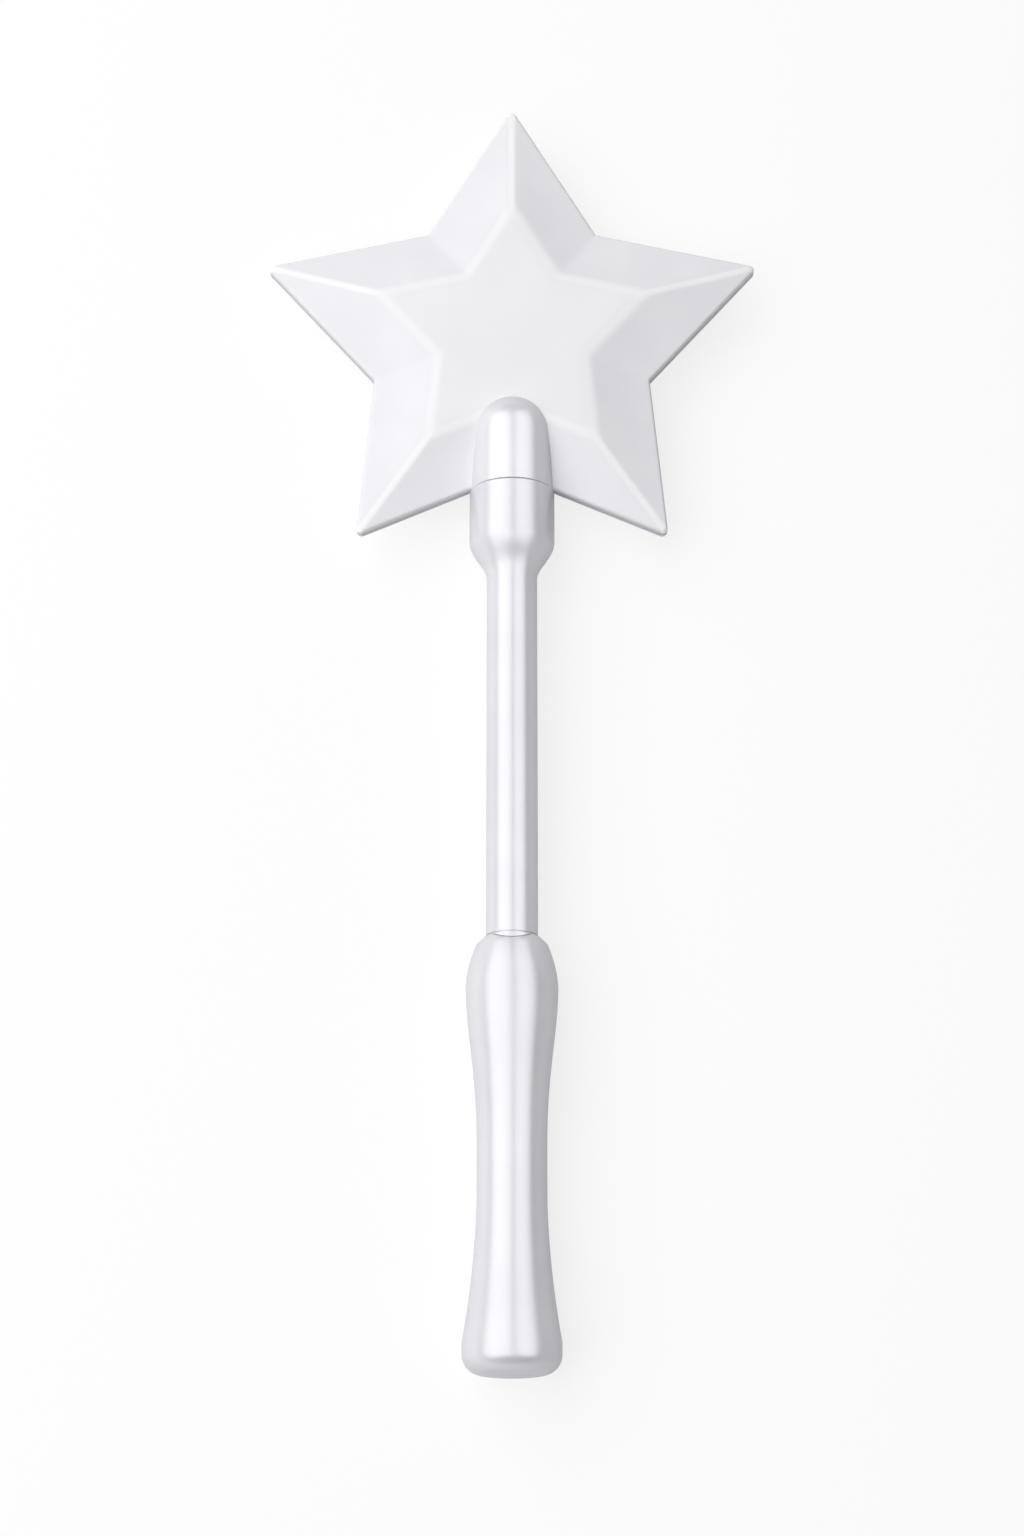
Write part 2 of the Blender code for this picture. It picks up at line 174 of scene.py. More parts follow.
# Colours that the painted highlight and the painted shade blend towards
PAINTED_HIGHLIGHT_TONE = (0.97, 0.97, 0.98, 1.0)
PAINTED_SHADE_TONE = (0.32, 0.31, 0.34, 1.0)
SPECULAR_TINT = (0.35, 0.33, 0.4, 1.0)
COAT_ROUGHNESS = 0.12
CLOUD_NOISE = (55.0, 3.0)
CLOUD_SPAN = (0.32, 0.68)
SCUFF_NOISE = (420.0, 4.0)
SCUFF_SMOOTHER = 0.03
SCUFF_ROUGHER = 0.05
PEEL_NOISE = (520.0, 2.0)
PEEL_STRENGTH = 0.04
PEEL_HEIGHT = 0.00004

# Zinc-plated steel
STEEL_DARK = (0.42, 0.42, 0.43)
STEEL_LIGHT = (0.60, 0.60, 0.61)
STEEL_ROUGHNESS = (0.24, 0.42)
STAIN_NOISE = (900.0, 3.0)
STAIN_SPAN = (0.3, 0.7)
TURNING_NOISE = (6000.0, 1.0)
TURNING_STRENGTH = 0.1
TURNING_HEIGHT = 0.00003

# Floor, its reach from the middle, and its glow as the camera and as reflections see it
FLOOR_REACH = 8.0
FLOOR_WHITE = (0.98, 0.98, 0.98, 1.0)
FLOOR_ROUGHNESS = 0.9
FLOOR_SPECULAR = 0.1
FLOOR_GLOW = 0.78
MIRRORED_GLOW = 0.38

# Studio: the world's level by height of view, and the softboxes
HORIZON_LEVEL = 1.0
HORIZON_LOW = 0.08
HORIZON_HIGH = 0.25
CEILING_LEVEL = 0.18
LAMP_AIM_Y = 0.4
KEY_SOFTBOX = {
    "lean": math.radians(34), "turn": math.radians(184), "distance": 1.1,
    "width": 1.35, "length": 2.6, "power": 21.6,
}
BAND_SOFTBOX = {
    "lean": math.radians(34.5), "turn": math.radians(0), "distance": 1.1,
    "width": 1.02, "length": 2.6, "power": 15.8, "diffuse": False,
}

# Photograph's camera, in pixels of its 1024 by 1536 frame, found from the star's perspective
PHOTO_HEIGHT = 1536
CAMERA_DISTANCE_PX = 3000
CAMERA_TILT = math.radians(18.0)
METRES_PER_PX = 0.000265
AIM_FROM_BUTT = 0.1587
SENSOR_WIDTH = 36.0

# Sizes worked out from the values above; heights are measured from the end of the butt
waist_top = WAIST_HEIGHT + WAIST_STRAIGHT
bulge = grip_length - BULGE_DROP
shoulder = grip_length - SHOULDER_DROP
flare_top = FLARE_FOOT + FLARE_LENGTH
star_y = (screw_low[1] + screw_high[1]) / 2 - STAR_POST_RADIUS
seam = star_y - butt_y - STAR_OFFSET
boss_mouth = seam + FIT_GAP
boss_centre = seam + BOSS_STRAIGHT
socket_radius = BOSS_RADIUS - SOCKET_WALL
spigot_radius = socket_radius - FIT_GAP
bore_radius = STEM_RADIUS + FIT_GAP
mouth_radius = bore_radius + FIT_GAP
half_turn = math.pi / STAR_ARMS
tip_angle = math.atan2(
    STAR_VALLEY * math.sin(half_turn), STAR_TIP - STAR_VALLEY * math.cos(half_turn)
)
valley_angle = tip_angle + half_turn
facet_run = (STAR_TIP - FLAT_TIP) * math.sin(tip_angle)
recess_radius = HEAD_RADIUS + FIT_GAP
hole_radius = SHANK_RADIUS + FIT_GAP
post_radius = recess_radius + POST_WALL

# One ring of the star's skin, with its tones of painted highlight and painted shade
Level = namedtuple("Level", "inset height tip_round valley_round pale ridge grey", defaults=(0.0, 0.0, 0.0))


def ease(share):
    """Smooth step from 0 to 1, level at both ends."""
    return share * share * (3 - 2 * share)


def blend(low, high, share):
    return low + (high - low) * share


# Meshes

def mesh_from(bm, name):
    bmesh.ops.recalc_face_normals(bm, faces=bm.faces)
    mesh = bpy.data.meshes.new(name)
    bm.to_mesh(mesh)
    bm.free()
    return mesh


def new_piece(name, mesh):
    piece = bpy.data.objects.new(name, mesh)
    bpy.context.scene.collection.objects.link(piece)
    return piece


def skin(bm, rings, closed=False):
    """Faces between rings of points; a ring of one point closes the skin on it."""
    made = [[bm.verts.new(point) for point in ring] for ring in rings]
    pairs = list(zip(made, made[1:]))
    if closed:
        pairs.append((made[-1], made[0]))
    for first, second in pairs:
        count = max(len(first), len(second))
        for i in range(count):
            j = (i + 1) % count
            if len(first) == 1:
                bm.faces.new((first[0], second[i], second[j]))
            elif len(second) == 1:
                bm.faces.new((first[i], first[j], second[0]))
            else:
                bm.faces.new((first[i], first[j], second[j], second[i]))


def lathe(name, profile, phase=0.0):
    """A solid of (radius, distance from the butt) points turned about the wand's axis."""
    rings = []
    for radius, height in profile:
        count = TURN_STEPS if radius > 0 else 1
        ring = []
        for i in range(count):
            turn = 2 * math.pi * (i + phase) / TURN_STEPS
            x, z = radius * math.sin(turn), radius * math.cos(turn)
            ring.append((x, butt_y + height, axis_z + z))
        rings.append(ring)
    bm = bmesh.new()
    skin(bm, rings, closed=profile[0][0] > 0)
    return new_piece(name, mesh_from(bm, name))


def rods(name, bars):
    """Separate round bars, each (radius, start, end), as one cutter."""
    bm = bmesh.new()
    for radius, start, end in bars:
        start, end = Vector(start), Vector(end)
        along = end - start
        turn = along.to_track_quat("Z", "Y").to_matrix().to_4x4()
        bmesh.ops.create_cone(
            bm, cap_ends=True, segments=ROD_STEPS, radius1=radius, radius2=radius,
            depth=along.length, matrix=Matrix.Translation((start + end) / 2) @ turn,
        )
    return new_piece(name, mesh_from(bm, name))


def boxes(name, corners):
    """Separate boxes, each (low corner, high corner), as one cutter."""
    bm = bmesh.new()
    for low, high in corners:
        low, high = Vector(low), Vector(high)
        place = Matrix.Translation((low + high) / 2) @ Matrix.Diagonal(high - low).to_4x4()
        bmesh.ops.create_cube(bm, size=1.0, matrix=place)
    return new_piece(name, mesh_from(bm, name))


def carve(piece, *steps):
    """Applies (operation, tool) Booleans to a piece's mesh and removes the tools."""
    for operation, tool in steps:
        step = piece.modifiers.new(tool.name, "BOOLEAN")
        step.operation = operation
        step.solver = "EXACT"
        step.material_mode = "TRANSFER"
        step.object = tool
        graph = bpy.context.evaluated_depsgraph_get()
        mesh = bpy.data.meshes.new_from_object(piece.evaluated_get(graph))
        piece.modifiers.clear()
        piece.data = mesh
        bpy.data.objects.remove(tool)
    bm = bmesh.new()
    bm.from_mesh(piece.data)
    bmesh.ops.remove_doubles(bm, verts=bm.verts, dist=MERGE_DISTANCE)
    bmesh.ops.dissolve_degenerate(bm, edges=bm.edges, dist=MERGE_DISTANCE)
    bm.to_mesh(piece.data)
    bm.free()


def finish_piece(piece, body, node):
    piece.data.shade_smooth()
    piece.data.set_sharp_from_angle(angle=SHARP_ANGLE)
    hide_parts(node)
    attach(piece, body)


# Materials

class Nodes:
    """Short calls for building a material's nodes."""

    def __init__(self, name):
        self.material = bpy.data.materials.new(name)
        self.material.use_nodes = True
        self.tree = self.material.node_tree
        self.shader = self.tree.nodes["Principled BSDF"]

    def add(self, kind, **settings):
        node = self.tree.nodes.new(kind)
        for key, value in settings.items():
            if key in node.inputs:
                node.inputs[key].default_value = value
            else:
                setattr(node, key, value)
        return node

    def link(self, source, target):
        self.tree.links.new(source, target)

    def place(self):
        return self.add("ShaderNodeTexCoord").outputs["Object"]

    def noise(self, place, scale, detail):
        node = self.add("ShaderNodeTexNoise", Scale=scale, Detail=detail)
        self.link(place, node.inputs["Vector"])
        return node.outputs["Fac"]

    def ramp(self, source, span, dark, light):
        node = self.add("ShaderNodeValToRGB")
        for element, position, colour in zip(node.color_ramp.elements, span, (dark, light)):
            element.position = position
            element.color = (*colour, 1.0)
        self.link(source, node.inputs["Fac"])
        return node.outputs["Color"]

    def map_range(self, source, low, high):
        node = self.add("ShaderNodeMapRange")
        node.inputs["To Min"].default_value = low
        node.inputs["To Max"].default_value = high
        self.link(source, node.inputs["Value"])
        return node.outputs["Result"]

    def blend_to(self, colour, share, tone):
        """The colour, mixed towards a fixed tone by a share that varies over the surface."""
        node = self.add("ShaderNodeMix", data_type="RGBA")
        self.link(share, node.inputs["Factor"])
        self.link(colour, node.inputs["A"])
        node.inputs["B"].default_value = tone
        return node.outputs["Result"]

    def opposite(self, source):
        node = self.add("ShaderNodeMath", operation="MULTIPLY")
        self.link(source, node.inputs[0])
        node.inputs[1].default_value = -1.0
        return node.outputs["Value"]

    def bump(self, height, strength, distance):
        node = self.add("ShaderNodeBump", Strength=strength, Distance=distance)
        self.link(height, node.inputs["Height"])
        return node.outputs["Normal"]


def pearl_plastic(name, dark, light, roughness, metallic, coat, specular, pale=0.0, grey=0.0):
    """Pearl pigment in clear plastic: cloudy tint, the mesh's painted highlight and painted shade, faint
    orange peel.
    """
    nodes = Nodes(name)
    shader = nodes.shader
    place = nodes.place()
    cloud = nodes.noise(place, *CLOUD_NOISE)
    tint = nodes.ramp(cloud, CLOUD_SPAN, dark, light)
    # Painted highlight and painted shade, read from the mesh's tone layer
    if pale:
        tone = nodes.add("ShaderNodeAttribute", attribute_name=PAINTED_LIGHT_LAYER).outputs["Fac"]
        tint = nodes.blend_to(tint, nodes.map_range(tone, 0.0, pale), PAINTED_HIGHLIGHT_TONE)
        tint = nodes.blend_to(tint, nodes.map_range(nodes.opposite(tone), 0.0, grey), PAINTED_SHADE_TONE)
    nodes.link(tint, shader.inputs["Base Color"])
    scuff = nodes.noise(place, *SCUFF_NOISE)
    gloss = nodes.map_range(scuff, roughness - SCUFF_SMOOTHER, roughness + SCUFF_ROUGHER)
    nodes.link(gloss, shader.inputs["Roughness"])
    peel = nodes.noise(place, *PEEL_NOISE)
    nodes.link(nodes.bump(peel, PEEL_STRENGTH, PEEL_HEIGHT), shader.inputs["Normal"])
    shader.inputs["Metallic"].default_value = metallic
    shader.inputs["Coat Weight"].default_value = coat
    shader.inputs["Coat Roughness"].default_value = COAT_ROUGHNESS
    shader.inputs["Specular IOR Level"].default_value = specular
    shader.inputs["Specular Tint"].default_value = SPECULAR_TINT
    return nodes.material


def plated_steel():
    """Zinc-plated screw steel with turning marks."""
    nodes = Nodes("screw_steel")
    shader = nodes.shader
    place = nodes.place()
    stain = nodes.noise(place, *STAIN_NOISE)
    nodes.link(nodes.ramp(stain, STAIN_SPAN, STEEL_DARK, STEEL_LIGHT), shader.inputs["Base Color"])
    nodes.link(nodes.map_range(stain, *STEEL_ROUGHNESS), shader.inputs["Roughness"])
    turning = nodes.noise(place, *TURNING_NOISE)
    nodes.link(nodes.bump(turning, TURNING_STRENGTH, TURNING_HEIGHT), shader.inputs["Normal"])
    shader.inputs["Metallic"].default_value = 1.0
    return nodes.material


# Grip

def grip_radius(height):
    """Outer radius of the grip: rounded butt, flare, waist, swell, crown, then the conical mouth."""
    if height < BUTT_ROUND:
        return BUTT_RADIUS - BUTT_ROUND + math.sqrt(BUTT_ROUND**2 - (BUTT_ROUND - height) ** 2)
    if height < BUTT_HEIGHT:
        return BUTT_RADIUS
    if height < WAIST_HEIGHT:
        share = (WAIST_HEIGHT - height) / (WAIST_HEIGHT - BUTT_HEIGHT)
        return blend(WAIST_RADIUS, BUTT_RADIUS, share**FLARE_POWER)
    if height < waist_top:
        return WAIST_RADIUS
    if height < bulge:
        share = (height - waist_top) / (bulge - waist_top)
        return blend(WAIST_RADIUS, BULGE_RADIUS, ease(share**SWELL_POWER))
    if height < shoulder:
        share = (height - bulge) / (shoulder - bulge)
        return blend(BULGE_RADIUS, SHOULDER_RADIUS, share**CROWN_POWER)
    return blend(SHOULDER_RADIUS, mouth_radius, (height - shoulder) / (grip_length - shoulder))


def grip_heights():
    """Heights of the grip's profile points, from the shoulder to the end."""
    bounds = (shoulder, bulge, waist_top, WAIST_HEIGHT, BUTT_HEIGHT)
    heights = []
    for high, low in zip(bounds, bounds[1:]):
        heights += [blend(high, low, i / CURVE_STEPS) for i in range(CURVE_STEPS)]
    heights.append(BUTT_HEIGHT)
    for i in range(CURVE_STEPS + 1):
        heights.append(BUTT_ROUND * (1 - math.sin(math.pi / 2 * i / CURVE_STEPS)))
    return heights


def grip_outside():
    """Profile of the outer skin, from the mouth to the end of the butt."""
    return [(mouth_radius, grip_length)] + [(grip_radius(height), height) for height in grip_heights()]


def grip_inside():
    """Profile of the hollow, from the floor of the butt up to the bore at the mouth."""
    collar = grip_length - COLLAR_DEPTH
    chamber = [height for height in reversed(grip_heights()) if GRIP_WALL < height < collar]
    profile = [(grip_radius(height) - GRIP_WALL, height) for height in [GRIP_WALL] + chamber + [collar]]
    return profile + [(bore_radius, collar), (bore_radius, grip_length)]


def mouth_disc(name, radius, depth):
    """A disc through the front of the grip's mouth that reaches a depth below its rim."""
    y = butt_y + grip_length + radius - depth
    return rods(name, [(radius, (0, y, axis_z), (0, y, axis_z + 2 * BULGE_RADIUS))])


def grip_fastenings():
    """Posts, and the recesses and holes in them, at the grip's screws."""
    posts, cuts = [], []
    for number in range(1, GRIP_SCREWS + 1):
        low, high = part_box(f"grip_screw_{number}")
        y = (low[1] + high[1]) / 2
        wall = grip_radius(y - butt_y) - GRIP_WALL / 2
        posts.append((post_radius, (0, y, axis_z - wall), (0, y, axis_z + wall)))
        seat = low[2] + HEAD_HEIGHT
        cuts.append((recess_radius, (0, y, low[2] - BUTT_RADIUS), (0, y, seat + FIT_GAP)))
        cuts.append((hole_radius, (0, y, seat), (0, y, high[2] + FIT_GAP)))
    return posts, cuts


def build_grip(material):
    reach = 2 * BUTT_RADIUS
    far_y = butt_y + grip_length + reach
    posts, cuts = grip_fastenings()
    halves = (("grip_front", "grip_front_half", 1), ("grip_rear", "grip_rear_half", -1))
    for name, node, side in halves:
        half = lathe(name, [(0, GRIP_WALL)] + grip_inside() + grip_outside() + [(0, 0)])
        half.data.materials.append(material)
        edge = axis_z + side * SEAM_GAP / 2
        low_z, high_z = sorted((edge, axis_z - side * reach))
        other = boxes("other_half", [((-reach, butt_y - reach, low_z), (reach, far_y, high_z))])
        carve(
            half, ("UNION", rods("posts", posts)), ("DIFFERENCE", rods("holes", cuts)),
            ("DIFFERENCE", other),
        )
        if side > 0:
            carve(half, ("DIFFERENCE", mouth_disc("notch", NOTCH_RADIUS, NOTCH_DEPTH)))
        finish_piece(half, "grip", node)


# Stem

def rounded_edge(radius, height, round_off):
    """Quarter round from a flat end at height down to the side at radius."""
    points = []
    for i in range(ARC_STEPS + 1):
        turn = math.pi / 2 * i / ARC_STEPS
        inset, drop = round_off * (1 - math.sin(turn)), round_off * (1 - math.cos(turn))
        points.append((radius - inset, height - drop))
    return points


def stem_profile():
    """Outer side from the spigot down to the end in the grip, then up the bore."""
    profile = [(spigot_radius - LEAD_IN, spigot_top), (spigot_radius, spigot_top - LEAD_IN)]
    profile += [(spigot_radius, seam)] + rounded_edge(neck_radius, seam, EDGE_ROUND)
    for i in range(CURVE_STEPS + 1):
        height = blend(flare_top, FLARE_FOOT, i / CURVE_STEPS)
        share = ease((height - FLARE_FOOT) / FLARE_LENGTH)
        profile.append((blend(STEM_RADIUS, neck_radius, share), height))
    groove_top = grip_length + GROOVE_WIDTH
    profile += [(STEM_RADIUS, groove_top), (STEM_RADIUS - GROOVE_DEPTH, groove_top)]
    profile += [(STEM_RADIUS - GROOVE_DEPTH, grip_length), (STEM_RADIUS, grip_length)]
    profile += [(STEM_RADIUS, stem_foot + LEAD_IN), (STEM_RADIUS - LEAD_IN, stem_foot)]
    profile += [(STEM_RADIUS - STEM_WALL, stem_foot), (STEM_RADIUS - STEM_WALL, FLARE_FOOT)]
    return profile + [(spigot_radius - STEM_WALL, flare_top), (spigot_radius - STEM_WALL, spigot_top)]


def spline_corners(gap):
    """The two splines on the spigot's sides, or their slots when a gap is added round them."""
    inner = spigot_radius - STEM_WALL / 2
    outer = spigot_radius + SPLINE_HEIGHT + gap
    half = SPLINE_WIDTH / 2 + gap
    foot = butt_y + seam - SPLINE_LEAD
    top = butt_y + spigot_top - SPLINE_LEAD + gap
    corners = []
    for side in (-1, 1):
        low_x, high_x = sorted((side * inner, side * outer))
        corners.append(((low_x, foot, axis_z - half), (high_x, top, axis_z + half)))
    return corners


def stem_key():
    """The key stands in its notch, as far out as the rim of the grip's mouth."""
    key = mouth_disc("key", KEY_RADIUS, KEY_DEPTH)
    mouth_y = butt_y + grip_length
    below = (0, mouth_y - BULGE_DROP, axis_z)
    envelope = rods("envelope", [(mouth_radius, below, (0, mouth_y, axis_z))])
    core = rods("core", [(STEM_RADIUS - STEM_WALL / 2, below, (0, mouth_y + STEM_RADIUS, axis_z))])
    carve(key, ("INTERSECT", envelope), ("DIFFERENCE", core))
    return key


def build_stem(material):
    stem = lathe("stem_tube", stem_profile())
    stem.data.materials.append(material)
    carve(stem, ("UNION", stem_key()), ("UNION", boxes("splines", spline_corners(0))))
    finish_piece(stem, "stem", "stem")


# Star

def corner_arc(axis, centre, radius, spread):
    """Points of an arc about a centre on an axis from the star's middle, spread to both sides of it."""
    points = []
    for i in range(ARC_STEPS + 1):
        turn = axis + spread * (2 * i / ARC_STEPS - 1)
        x = centre * math.cos(axis) + radius * math.cos(turn)
        y = centre * math.sin(axis) + radius * math.sin(turn)
        points.append((x, y))
    return points


def star_ring(tip, height, tip_round, valley_round):
    """One star outline with rounded tips and valleys, anticlockwise from the top arm."""
    valley = tip * STAR_VALLEY / STAR_TIP
    tip_centre = tip - tip_round / math.sin(tip_angle)
    valley_centre = valley + valley_round / math.sin(valley_angle)
    corners = []
    for arm in range(STAR_ARMS):
        axis = math.pi / 2 + 2 * half_turn * arm
        corners.append(corner_arc(axis, tip_centre, tip_round, math.pi / 2 - tip_angle))
        corners.append(corner_arc(axis + half_turn, valley_centre, -valley_round, valley_angle - math.pi / 2))
    points = []
    for corner, following in zip(corners, corners[1:] + corners[:1]):
        points += corner
        (x0, y0), (x1, y1) = corner[-1], following[0]
        for i in range(1, EDGE_STEPS):
            points.append((blend(x0, x1, i / EDGE_STEPS), blend(y0, y1, i / EDGE_STEPS)))
    return [(x, star_y + y, height) for x, y in points]


# These shares mask the painted highlight along the arms' ridges
def ridge_shares():
    """How near each point of a ring is to an arm's ridge, from 0 to 1, in star_ring's order."""
    shares = []
    for _ in range(STAR_ARMS):
        shares += [math.sin(math.pi * i / ARC_STEPS) for i in range(ARC_STEPS + 1)]
        shares += [0.0] * (2 * (EDGE_STEPS - 1) + ARC_STEPS + 1)
    return shares


def facet_levels(rise):
    """(inset from the rim, height above the parting plane) down one side of the star, from its flat."""
    slope = math.atan2(rise, facet_run)
    top = RIM_HALF + rise
    soft = FLAT_ROUND * math.tan(slope / 2)
    levels = []
    for i in range(ARC_STEPS + 1):
        turn = slope * i / ARC_STEPS
        inset = facet_run + soft - FLAT_ROUND * math.sin(turn)
        levels.append((inset, top - FLAT_ROUND * (1 - math.cos(turn))))
    sweep = math.pi / 2 - slope
    drop = RIM_ROUND * math.tan(sweep / 2)
    fillet = []
    for i in range(ARC_STEPS + 1):
        turn = sweep * (1 - i / ARC_STEPS)
        inset = RIM_ROUND * (1 - math.cos(turn))
        fillet.append((inset, RIM_HALF - drop + RIM_ROUND * math.sin(turn)))
    (inset0, height0), (inset1, height1) = levels[-1], fillet[0]
    for i in range(1, CURVE_STEPS):
        share = i / CURVE_STEPS
        sag = FACET_SAG * math.sin(math.pi * share)
        levels.append((blend(inset0, inset1, share), blend(height0, height1, share) - sag))
    return levels + fillet


def inner_levels(rise):
    """The same side's inside, one wall in, from the parting plane to the flat."""
    slope = math.hypot(facet_run, rise)
    out, up = rise / slope, facet_run / slope
    rim = (STAR_WALL, max(RIM_HALF - STAR_WALL * (1 - out) / up, SEAM_GAP))
    flat = (facet_run + STAR_WALL * (1 - up) / out, RIM_HALF + rise - STAR_WALL)
    return [rim, flat]


def outer_skin(rise, rim_painted_shade):
    """Levels of the outside, from the middle of the flat down to the parting plane."""
    steps = facet_levels(rise)
    flat_inset, flat_height = steps[0]
    middle = STAR_TIP * math.sin(tip_angle)
    levels = []
    for share in FLAT_RINGS:
        inset = blend(middle, flat_inset, share)
        # The flat carries a painted sheen
        levels.append(Level(inset, flat_height, RIDGE_ROUND * share, CREASE_ROUND * share, FLAT_PAINTED_SHEEN))
    for number, (inset, height) in enumerate(steps):
        soft = math.sin(math.pi / 2 * min(inset / facet_run, 1.0)) ** SOFTENING
        turn = min(number / ARC_STEPS, 1.0)
        # Painted highlight: the flat's painted sheen fades down the bevel, a painted highlight runs along it,
        # and on the lower steps along the ridges
        pale = max(FLAT_PAINTED_SHEEN * (1 - turn), EDGE_PAINTED_HIGHLIGHT * math.sin(math.pi * turn))
        ridge = 1.0 if number > ARC_STEPS // 2 else 0.0
        # Painted shade, darker towards the rim
        grey = rim_painted_shade * max(0.0, 1 - inset / RIM_PAINTED_SHADE_DEPTH)
        tip_round = blend(TIP_ROUND, RIDGE_ROUND, soft)
        valley_round = blend(VALLEY_ROUND, CREASE_ROUND, soft)
        levels.append(Level(inset, height, tip_round, valley_round, pale, ridge, grey))
    # Painted shade at the parting plane
    levels.append(Level(0, SEAM_GAP, TIP_ROUND, VALLEY_ROUND, grey=1.0))
    levels.append(Level(SEAM_GAP / 2, SEAM_GAP / 2, TIP_ROUND, VALLEY_ROUND, grey=1.0))
    return levels


def inner_skin(rise):
    """Levels of the inside, from the parting plane up to the flat."""
    steps = [(STAR_WALL, SEAM_GAP / 2)] + inner_levels(rise)
    return [Level(inset, height, FIT_GAP, FIT_GAP) for inset, height in steps]


def star_half(name, side, rise, rim_painted_shade):
    """A hollow half of the star: out over its flat, facets and rim, then back inside."""
    peak = RIM_HALF + rise
    rings = [[(0, star_y, axis_z + side * peak)]]
    # The middle point starts with the flat's painted sheen
    tones = [FLAT_PAINTED_SHEEN]
    for level in outer_skin(rise, rim_painted_shade) + inner_skin(rise):
        tip = STAR_TIP - level.inset / math.sin(tip_angle)
        rings.append(star_ring(tip, axis_z + side * level.height, level.tip_round, level.valley_round))
        # Painted highlight on the flat, its bevel and the ridges, less the painted shade at the rim
        tones += [max(level.pale, level.ridge * share) - level.grey for share in ridge_shares()]
    rings.append([(0, star_y, axis_z + side * (peak - STAR_WALL))])
    tones.append(0.0)
    bm = bmesh.new()
    skin(bm, rings)
    mesh = mesh_from(bm, name)
    mesh.attributes.new(PAINTED_LIGHT_LAYER, "FLOAT", "POINT").data.foreach_set("value", tones)
    return new_piece(name, mesh)


def bullet(name, radius, mouth, foot, phase=0.0):
    """A half ball at the boss's centre on a straight run that ends in the foot's points at the mouth."""
    profile = []
    for i in range(CURVE_STEPS + 1):
        turn = math.pi / 2 * i / CURVE_STEPS
        profile.append((radius * math.sin(turn), boss_centre + radius * math.cos(turn)))
    return lathe(name, profile + foot + [(0, mouth)], phase)


def star_fastenings():
    """Posts, and the recesses and holes in them, at the star's screws."""
    posts, cuts = [], []
    front = axis_z + RIM_HALF + FACE_RISE - STAR_WALL / 2
    for number in range(1, STAR_ARMS + 1):
        low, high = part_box(f"star_screw_{number}")
        x, y = (low[0] + high[0]) / 2, (low[1] + high[1]) / 2
        posts.append((post_radius, (x, y, STAR_WALL / 2), (x, y, front)))
        seat = low[2] + HEAD_HEIGHT
        cuts.append((recess_radius, (x, y, -HEAD_HEIGHT), (x, y, seat + FIT_GAP)))
        cuts.append((hole_radius, (x, y, seat), (x, y, high[2] + FIT_GAP)))
    return posts, cuts


def build_star(material, boss_material):
    reach = 2 * STAR_TIP
    posts, cuts = star_fastenings()
    boss_edge = [(r, 2 * boss_mouth - h) for r, h in rounded_edge(BOSS_RADIUS, boss_mouth, EDGE_ROUND)]
    socket_mouth = boss_mouth - STEM_RADIUS
    halves = (
        ("star_front", "star_front_shell", 1, FACE_RISE, FRONT_RIM_PAINTED_SHADE),
        ("star_rear", "star_rear_shell", -1, axis_z - RIM_HALF, REAR_RIM_PAINTED_SHADE),
    )
    for name, node, side, rise, rim_painted_shade in halves:
        shell = star_half(name, side, rise, rim_painted_shade)
        shell.data.materials.append(material)
        low_z, high_z = sorted((axis_z + side * SEAM_GAP * BOSS_CUT, axis_z - side * reach))
        corners = [((-reach, star_y - reach, low_z), (reach, star_y + reach, high_z))]
        boss = bullet("boss", BOSS_RADIUS, boss_mouth, boss_edge[::-1])
        boss.data.materials.append(boss_material)
        carve(boss, ("UNION", rods("posts", posts)), ("DIFFERENCE", boxes("other_half", corners)))
        socket = bullet("socket", socket_radius, socket_mouth, [(socket_radius, socket_mouth)], HALF_STEP)
        carve(
            shell, ("UNION", boss), ("DIFFERENCE", socket), ("DIFFERENCE", rods("holes", cuts)),
            ("DIFFERENCE", boxes("slots", spline_corners(FIT_GAP))),
        )
        finish_piece(shell, "star", node)


# Screws

def screw_piece(name, node):
    """A pan-head screw in its node's place: head at the back, with a cross recess."""
    low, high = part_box(node)
    x, y = (low[0] + high[0]) / 2, (low[1] + high[1]) / 2
    seat = low[2] + HEAD_HEIGHT
    profile = []
    for i in range(ARC_STEPS + 1):
        turn = math.pi / 2 * i / ARC_STEPS
        dome = (HEAD_HEIGHT - HEAD_RIM) * math.cos(turn)
        profile.append((HEAD_RADIUS * math.sin(turn), seat - HEAD_RIM - dome))
    profile += [(HEAD_RADIUS, seat), (SHANK_RADIUS, seat)]
    profile += [(SHANK_RADIUS, high[2] - SHANK_RADIUS), (0, high[2])]
    rings = []
    for radius, z in profile:
        turns = [2 * math.pi * i / ROD_STEPS for i in range(ROD_STEPS if radius > 0 else 1)]
        rings.append([(x + radius * math.cos(turn), y + radius * math.sin(turn), z) for turn in turns])
    bm = bmesh.new()
    skin(bm, rings)
    screw = new_piece(name, mesh_from(bm, name))
    long, wide = RECESS_LENGTH / 2, RECESS_WIDTH / 2
    below, floor = low[2] - HEAD_HEIGHT, low[2] + RECESS_DEPTH
    across = boxes("across", [((x - long, y - wide, below), (x + long, y + wide, floor))])
    along = boxes("along", [((x - wide, y - long, below), (x + wide, y + long, floor))])
    carve(screw, ("DIFFERENCE", across), ("DIFFERENCE", along))
    return screw


def build_screws(material):
    for body, count in (("star", STAR_ARMS), ("grip", GRIP_SCREWS)):
        for number in range(1, count + 1):
            node = f"{body}_screw_{number}"
            screw = screw_piece(f"{body}_fastener_{number}", node)
            screw.data.materials.append(material)
            finish_piece(screw, body, node)


# Stage

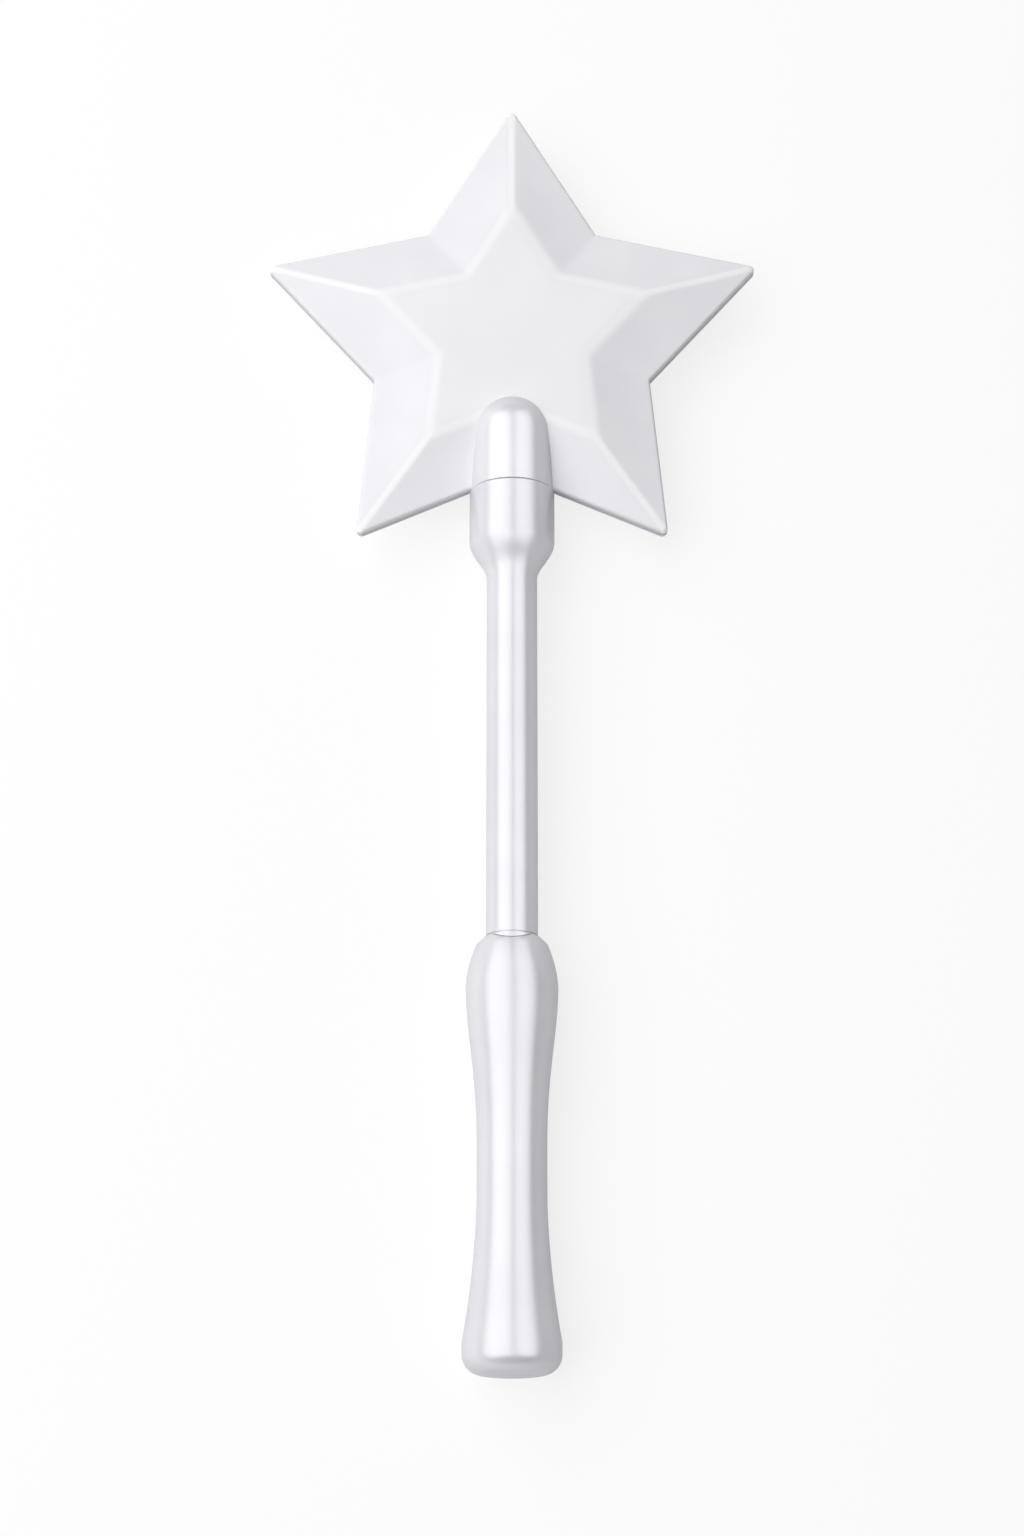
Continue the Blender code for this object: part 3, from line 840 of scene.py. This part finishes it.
def build_floor():
    """A white sheet under the wand that keeps its soft shadow, and glows to the camera and reflections."""
    bm = bmesh.new()
    bmesh.ops.create_grid(bm, x_segments=1, y_segments=1, size=FLOOR_REACH)
    floor = new_piece("floor", mesh_from(bm, "floor"))
    nodes = Nodes("floor_white")
    nodes.shader.inputs["Base Color"].default_value = FLOOR_WHITE
    nodes.shader.inputs["Roughness"].default_value = FLOOR_ROUGHNESS
    nodes.shader.inputs["Specular IOR Level"].default_value = FLOOR_SPECULAR
    glow = nodes.add("ShaderNodeEmission", Strength=1.0)
    mix = nodes.add("ShaderNodeMixShader")
    path = nodes.add("ShaderNodeLightPath")
    seen = nodes.map_range(path.outputs["Is Camera Ray"], 0.0, FLOOR_GLOW)
    for kind in ("Is Glossy Ray", "Is Transmission Ray"):
        either = nodes.add("ShaderNodeMath", operation="MAXIMUM")
        nodes.link(seen, either.inputs[0])
        nodes.link(nodes.map_range(path.outputs[kind], 0.0, MIRRORED_GLOW), either.inputs[1])
        seen = either.outputs["Value"]
    nodes.link(seen, mix.inputs["Fac"])
    nodes.link(nodes.shader.outputs["BSDF"], mix.inputs[1])
    nodes.link(glow.outputs["Emission"], mix.inputs[2])
    nodes.link(mix.outputs["Shader"], nodes.tree.nodes["Material Output"].inputs["Surface"])
    nodes.material.cycles.emission_sampling = "NONE"
    floor.data.materials.append(nodes.material)


def build_world():
    """A white horizon that falls to a dim ceiling, so the softboxes model the shapes."""
    world = bpy.data.worlds.new("studio")
    bpy.context.scene.world = world
    world.use_nodes = True
    tree = world.node_tree
    place = tree.nodes.new("ShaderNodeTexCoord")
    split = tree.nodes.new("ShaderNodeSeparateXYZ")
    tree.links.new(place.outputs["Generated"], split.inputs["Vector"])
    level = tree.nodes.new("ShaderNodeMapRange")
    level.interpolation_type = "SMOOTHSTEP"
    level.inputs["From Min"].default_value = HORIZON_LOW
    level.inputs["From Max"].default_value = HORIZON_HIGH
    level.inputs["To Min"].default_value = HORIZON_LEVEL
    level.inputs["To Max"].default_value = CEILING_LEVEL
    tree.links.new(split.outputs["Z"], level.inputs["Value"])
    background = tree.nodes["Background"]
    background.inputs["Color"].default_value = (1.0, 1.0, 1.0, 1.0)
    tree.links.new(level.outputs["Result"], background.inputs["Strength"])


def add_softbox(name, lean, turn, distance, width, length, power, diffuse=True):
    """An area lamp leaning from the vertical over its aim, turned about the vertical, facing the aim."""
    lamp = bpy.data.lights.new(name, "AREA")
    lamp.shape = "RECTANGLE"
    lamp.size = length
    lamp.size_y = width
    lamp.energy = power
    box = bpy.data.objects.new(name, lamp)
    bpy.context.scene.collection.objects.link(box)
    aim = Vector((0, LAMP_AIM_Y, axis_z))
    sideways = math.sin(lean)
    away = Vector((sideways * math.cos(turn), sideways * math.sin(turn), math.cos(lean)))
    box.location = aim + away * distance
    box.rotation_euler = away.to_track_quat("Z", "Y").to_euler()
    box.visible_camera = False
    box.visible_diffuse = diffuse


def build_camera():
    camera = bpy.data.cameras.new("photo_camera")
    camera.sensor_width = SENSOR_WIDTH
    camera.lens = camera.sensor_width * CAMERA_DISTANCE_PX / PHOTO_HEIGHT
    eye = bpy.data.objects.new("photo_camera", camera)
    bpy.context.scene.collection.objects.link(eye)
    aim = Vector((0, butt_y + AIM_FROM_BUTT, axis_z))
    back = Vector((0, -math.sin(CAMERA_TILT), math.cos(CAMERA_TILT)))
    eye.location = aim + back * CAMERA_DISTANCE_PX * METRES_PER_PX
    eye.rotation_euler = (CAMERA_TILT, 0, 0)
    bpy.context.scene.camera = eye


# The wand and its stage

star_pearl = pearl_plastic("star_pearl", **STAR_PEARL)
# The boss's pearl is the stem's, lightened as a painted highlight
boss_pearl_painted_lighter = pearl_plastic("boss_pearl_painted_lighter", **BOSS_PEARL_PAINTED_LIGHTER)
stem_pearl = pearl_plastic("stem_pearl", **STEM_PEARL)
build_star(star_pearl, boss_pearl_painted_lighter)
build_stem(stem_pearl)
build_grip(stem_pearl)
build_screws(plated_steel())
build_floor()
build_world()
add_softbox("key_softbox", **KEY_SOFTBOX)
add_softbox("band_softbox", **BAND_SOFTBOX)
build_camera()
bpy.context.scene.view_settings.view_transform = "Standard"
